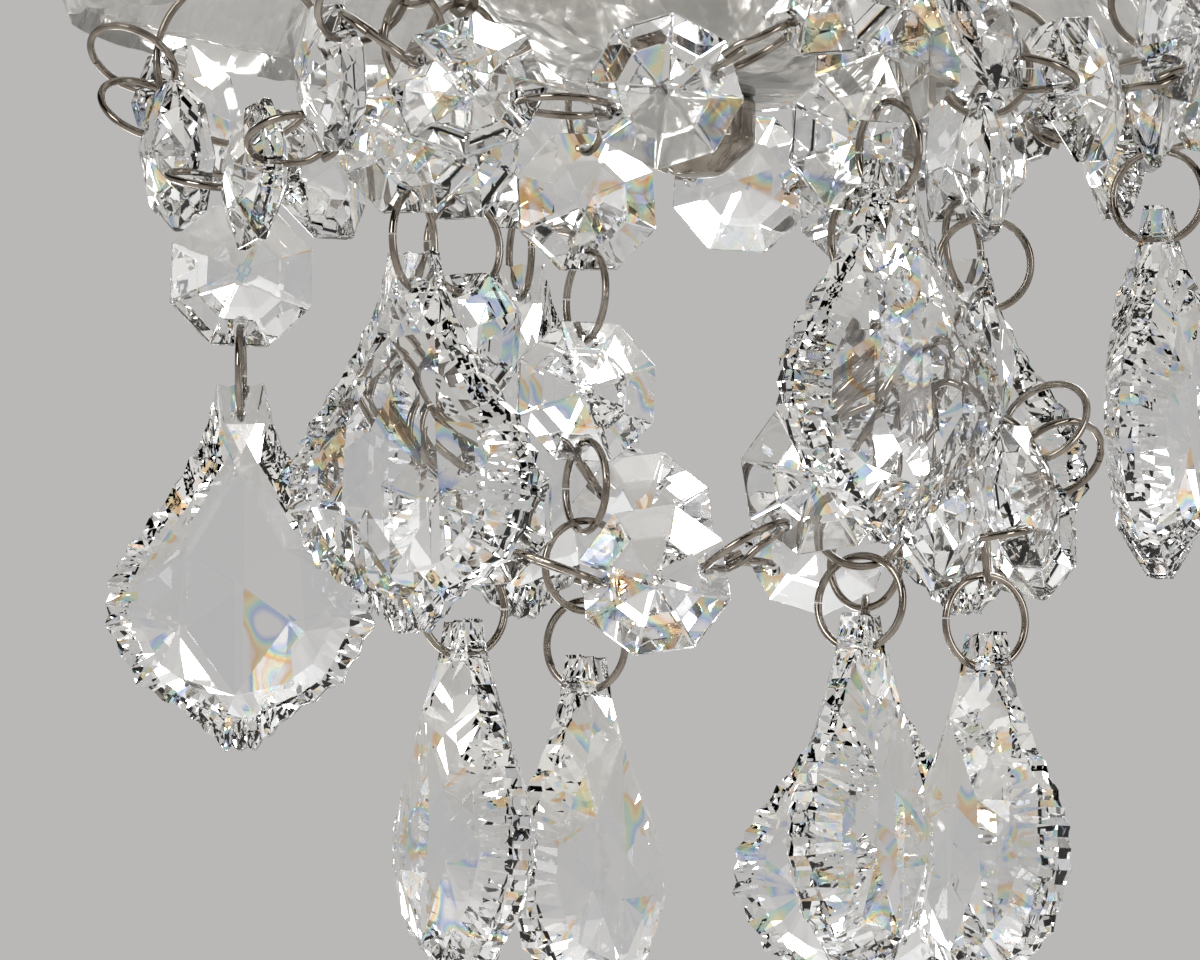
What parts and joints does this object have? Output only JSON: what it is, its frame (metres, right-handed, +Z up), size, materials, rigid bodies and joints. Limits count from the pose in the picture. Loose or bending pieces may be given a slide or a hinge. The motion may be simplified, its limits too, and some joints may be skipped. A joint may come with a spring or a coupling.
{
  "type": "crystal chandelier",
  "caption": "Small three-arm crystal chandelier: hanging column, six-lobed glass dish, swags of linked octagon beads and cut pendalogues on wire rings.",
  "frame": {"origin": "centre of the ceiling face of the rose and its strap", "axes": "+Z up along the column, -Y towards the viewer, +X to the viewer's right"},
  "size_m": [0.239, 0.214, 0.3298],
  "materials": {
    "cut_crystal": "cut and polished",
    "pressed_glass": "pressed, fire polished",
    "polished_nickel": "polished nickel plate",
    "plated_steel": "zinc plate",
    "terminal_plastic": "moulded",
    "holder_plastic": "moulded",
    "candle_white": "satin",
    "bulb_glass": "frosted"
  },
  "bodies": {
    "rose": {"ceiling_rose": "polished_nickel", "mounting_strap": "plated_steel", "stem_nut": "plated_steel", "terminal_block": "terminal_plastic", "hanging_eye": "polished_nickel"},
    "chain": {"chain_links": "polished_nickel"},
    "frame": {"arm_1": "pressed_glass", "arm_2": "pressed_glass", "arm_3": "pressed_glass", "arm_dishes": "pressed_glass", "arm_hub": "polished_nickel", "bulbs": "bulb_glass", "candle_sleeves": "candle_white", "cap_nut": "polished_nickel", "column_loop": "polished_nickel", "column_rod": "plated_steel", "dish_pins": "polished_nickel", "hook_rings": "polished_nickel", "lamp_holders": "holder_plastic", "lower_baluster": "pressed_glass", "petal_dish": "pressed_glass", "strand_octagons": "cut_crystal", "strand_rings": "polished_nickel", "top_cap": "polished_nickel", "upper_baluster": "pressed_glass"},
    "upper_swag_1": {"upper_swag_1_rings": "polished_nickel", "upper_swag_1_octagons": "cut_crystal"},
    "upper_swag_2": {"upper_swag_2_rings": "polished_nickel", "upper_swag_2_octagons": "cut_crystal"},
    "upper_swag_3": {"upper_swag_3_rings": "polished_nickel", "upper_swag_3_octagons": "cut_crystal"},
    "upper_swag_4": {"upper_swag_4_rings": "polished_nickel", "upper_swag_4_octagons": "cut_crystal"},
    "upper_swag_5": {"upper_swag_5_rings": "polished_nickel", "upper_swag_5_octagons": "cut_crystal"},
    "upper_swag_6": {"upper_swag_6_rings": "polished_nickel", "upper_swag_6_octagons": "cut_crystal"},
    "lower_swag_2": {"lower_swag_2_rings": "polished_nickel", "lower_swag_2_octagons": "cut_crystal"},
    "lower_swag_3": {"lower_swag_3_rings": "polished_nickel", "lower_swag_3_octagons": "cut_crystal"},
    "lower_swag_4": {"lower_swag_4_rings": "polished_nickel", "lower_swag_4_octagons": "cut_crystal"},
    "lower_swag_5": {"lower_swag_5_rings": "polished_nickel", "lower_swag_5_octagons": "cut_crystal"},
    "upper_pendalogue_1": {"upper_pendalogue_1": "cut_crystal"},
    "upper_pendalogue_2": {"upper_pendalogue_2": "cut_crystal"},
    "upper_pendalogue_3": {"upper_pendalogue_3": "cut_crystal"},
    "upper_pendalogue_4": {"upper_pendalogue_4": "cut_crystal"},
    "upper_pendalogue_5": {"upper_pendalogue_5": "cut_crystal"},
    "upper_pendalogue_6": {"upper_pendalogue_6": "cut_crystal"},
    "lower_pendalogue_2": {"lower_pendalogue_2": "cut_crystal"},
    "lower_pendalogue_3": {"lower_pendalogue_3": "cut_crystal"},
    "lower_pendalogue_4": {"lower_pendalogue_4": "cut_crystal"},
    "lower_pendalogue_5": {"lower_pendalogue_5": "cut_crystal"},
    "lower_pendalogue_6": {"lower_pendalogue_6": "cut_crystal"}
  },
  "joints": [
    {"name": "chain_sway", "type": "hinge", "parent": "rose", "child": "chain", "pos_m": [0, 0, -0.042], "axis": [0, 1, 0], "range_deg": [-10, 10]},
    {"name": "column_sway", "type": "hinge", "parent": "chain", "child": "frame", "pos_m": [0, 0, -0.1038], "axis": [1, 0, 0], "range_deg": [-10, 10]},
    {"name": "upper_swag_1_swing", "type": "hinge", "parent": "frame", "child": "upper_swag_1", "pos_m": [-0.05563, 0.00199, -0.23988], "axis": [0.4444, -0.8914, 0.0892], "range_deg": [-12, 2]},
    {"name": "upper_swag_2_swing", "type": "hinge", "parent": "frame", "child": "upper_swag_2", "pos_m": [-0.02796, -0.04522, -0.23927], "axis": [0.963, -0.1006, 0.2499], "range_deg": [-12, 2]},
    {"name": "upper_swag_3_swing", "type": "hinge", "parent": "frame", "child": "upper_swag_3", "pos_m": [0.0249, -0.04722, -0.23162], "axis": [0.5849, 0.8061, 0.0899], "range_deg": [-12, 2]},
    {"name": "upper_swag_4_swing", "type": "hinge", "parent": "frame", "child": "upper_swag_4", "pos_m": [0.05334, -0.00205, -0.23162], "axis": [-0.4057, 0.9096, 0.0899], "range_deg": [-12, 2]},
    {"name": "upper_swag_5_swing", "type": "hinge", "parent": "frame", "child": "upper_swag_5", "pos_m": [0.02845, 0.04517, -0.23162], "axis": [-0.9906, 0.1035, 0.0899], "range_deg": [-12, 2]},
    {"name": "upper_swag_6_swing", "type": "hinge", "parent": "frame", "child": "upper_swag_6", "pos_m": [-0.02507, 0.0475, -0.23145], "axis": [-0.6566, -0.7525, -0.0515], "range_deg": [-12, 2]},
    {"name": "lower_swag_2_swing", "type": "hinge", "parent": "frame", "child": "lower_swag_2", "pos_m": [-0.0257, -0.02361, -0.27773], "axis": [0.9836, -0.1612, 0.0805], "range_deg": [-12, 3]},
    {"name": "lower_swag_3_swing", "type": "hinge", "parent": "frame", "child": "lower_swag_3", "pos_m": [0.02258, -0.02798, -0.27776], "axis": [0.4676, 0.8746, 0.1286], "range_deg": [-12, 3]},
    {"name": "lower_swag_4_swing", "type": "hinge", "parent": "frame", "child": "lower_swag_4", "pos_m": [0.03565, 0.0016, -0.27749], "axis": [-0.4456, 0.8872, 0.1197], "range_deg": [-12, 3]},
    {"name": "lower_swag_5_swing", "type": "hinge", "parent": "frame", "child": "lower_swag_5", "pos_m": [0.01768, 0.03073, -0.27722], "axis": [-0.9898, 0.086, 0.1135], "range_deg": [-12, 3]},
    {"name": "upper_pendalogue_1_swing", "type": "hinge", "parent": "frame", "child": "upper_pendalogue_1", "pos_m": [-0.04715, 0.00579, -0.26888], "axis": [-0.0872, -0.9962, 0], "range_deg": [-15, 15]},
    {"name": "upper_pendalogue_2_swing", "type": "hinge", "parent": "frame", "child": "upper_pendalogue_2", "pos_m": [-0.02859, -0.03794, -0.26038], "axis": [-0.4848, -0.8746, 0], "range_deg": [-15, 15]},
    {"name": "upper_pendalogue_3_swing", "type": "hinge", "parent": "frame", "child": "upper_pendalogue_3", "pos_m": [0.01856, -0.04372, -0.252], "axis": [0.6428, -0.766, 0], "range_deg": [-15, 15]},
    {"name": "upper_pendalogue_4_swing", "type": "hinge", "parent": "frame", "child": "upper_pendalogue_4", "pos_m": [0.04715, -0.00579, -0.252], "axis": [0.9613, -0.2756, 0], "range_deg": [-15, 15]},
    {"name": "upper_pendalogue_5_swing", "type": "hinge", "parent": "frame", "child": "upper_pendalogue_5", "pos_m": [0.02859, 0.03794, -0.252], "axis": [0.4226, 0.9063, 0], "range_deg": [-15, 5]},
    {"name": "upper_pendalogue_6_swing", "type": "hinge", "parent": "frame", "child": "upper_pendalogue_6", "pos_m": [-0.01856, 0.04372, -0.252], "axis": [-0.1908, 0.9816, 0], "range_deg": [-15, 15]},
    {"name": "lower_pendalogue_2_swing", "type": "hinge", "parent": "frame", "child": "lower_pendalogue_2", "pos_m": [-0.02387, -0.01734, -0.29536], "axis": [-0.8988, -0.4384, 0], "range_deg": [-15, 15]},
    {"name": "lower_pendalogue_3_swing", "type": "hinge", "parent": "frame", "child": "lower_pendalogue_3", "pos_m": [0.01607, -0.02474, -0.29536], "axis": [0.8829, -0.4695, 0], "range_deg": [-15, 15]},
    {"name": "lower_pendalogue_4_swing", "type": "hinge", "parent": "frame", "child": "lower_pendalogue_4", "pos_m": [0.02943, -0.00206, -0.29536], "axis": [0.848, 0.5299, 0], "range_deg": [-15, 15]},
    {"name": "lower_pendalogue_5_swing", "type": "hinge", "parent": "frame", "child": "lower_pendalogue_5", "pos_m": [0.01775, 0.02356, -0.29536], "axis": [0.1219, 0.9925, 0], "range_deg": [-15, 15]},
    {"name": "lower_pendalogue_6_swing", "type": "hinge", "parent": "frame", "child": "lower_pendalogue_6", "pos_m": [-0.01153, 0.02715, -0.29536], "axis": [-0.8387, 0.5446, 0], "range_deg": [-15, 15]}
  ]
}
